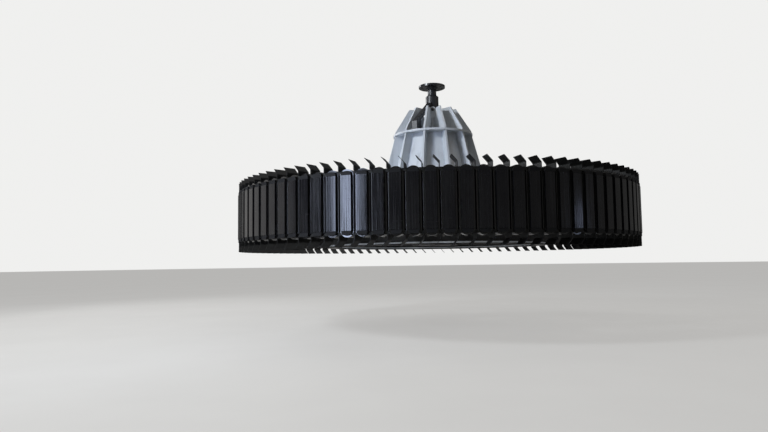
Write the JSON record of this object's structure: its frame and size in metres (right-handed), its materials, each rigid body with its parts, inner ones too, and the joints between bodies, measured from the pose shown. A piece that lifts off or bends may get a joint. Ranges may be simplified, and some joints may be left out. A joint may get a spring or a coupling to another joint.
{
  "type": "hydroelectric generator rotor",
  "caption": "Vertical salient pole generator rotor, ribbed hub cone on an arm spider, laminated rim with black poles, coils and leaning fan blades.",
  "frame": {"origin": "on the shaft axis, level with the lowest blade tips, the lowest points of the rotor", "axes": "+Z is the shaft axis pointing up, the rotor turns about it; X and Y run through spider arms"},
  "size_m": [9.7998, 9.7998, 4.258],
  "materials": {
    "lamination": "gloss",
    "end_plate": "semi gloss",
    "copper_coil": "semi gloss",
    "collar": "satin",
    "fan_blade": "satin",
    "rim_lamination": "satin",
    "dark_steel": "satin",
    "bare_steel": "machined",
    "light_paint": "satin",
    "black_steel": "satin"
  },
  "bodies": {
    "root": {"pole_cores_1": "lamination", "pole_cores_2": "lamination", "pole_cores_3": "lamination", "pole_cores_4": "lamination", "pole_end_plates_1": "end_plate", "pole_end_plates_2": "end_plate", "pole_end_plates_3": "end_plate", "pole_end_plates_4": "end_plate", "field_coils_1": "copper_coil", "field_coils_2": "copper_coil", "field_coils_3": "copper_coil", "field_coils_4": "copper_coil", "coil_collars_1": "collar", "coil_collars_2": "collar", "coil_collars_3": "collar", "coil_collars_4": "collar", "upper_fans_1": "fan_blade", "upper_fans_2": "fan_blade", "upper_fans_3": "fan_blade", "upper_fans_4": "fan_blade", "lower_fans_1": "fan_blade", "lower_fans_2": "fan_blade", "lower_fans_3": "fan_blade", "lower_fans_4": "fan_blade", "rim_stack": "rim_lamination", "rim_top_plate": "dark_steel", "rim_bottom_plate": "dark_steel", "brake_web": "light_paint", "brake_ring": "light_paint", "brake_track": "bare_steel", "spider_arms_1": "light_paint", "spider_arms_2": "light_paint", "spider_arms_3": "light_paint", "rim_keys": "bare_steel", "arm_ties": "light_paint", "hub_drum": "light_paint", "hub_ribs": "light_paint", "hub_ring_plate": "light_paint", "crown_post": "light_paint", "crown_ribs": "light_paint", "hub_base": "light_paint", "shaft_stub": "dark_steel", "lifting_stem": "black_steel", "stem_legs": "black_steel", "stem_lugs": "light_paint"}
  },
  "joints": []
}
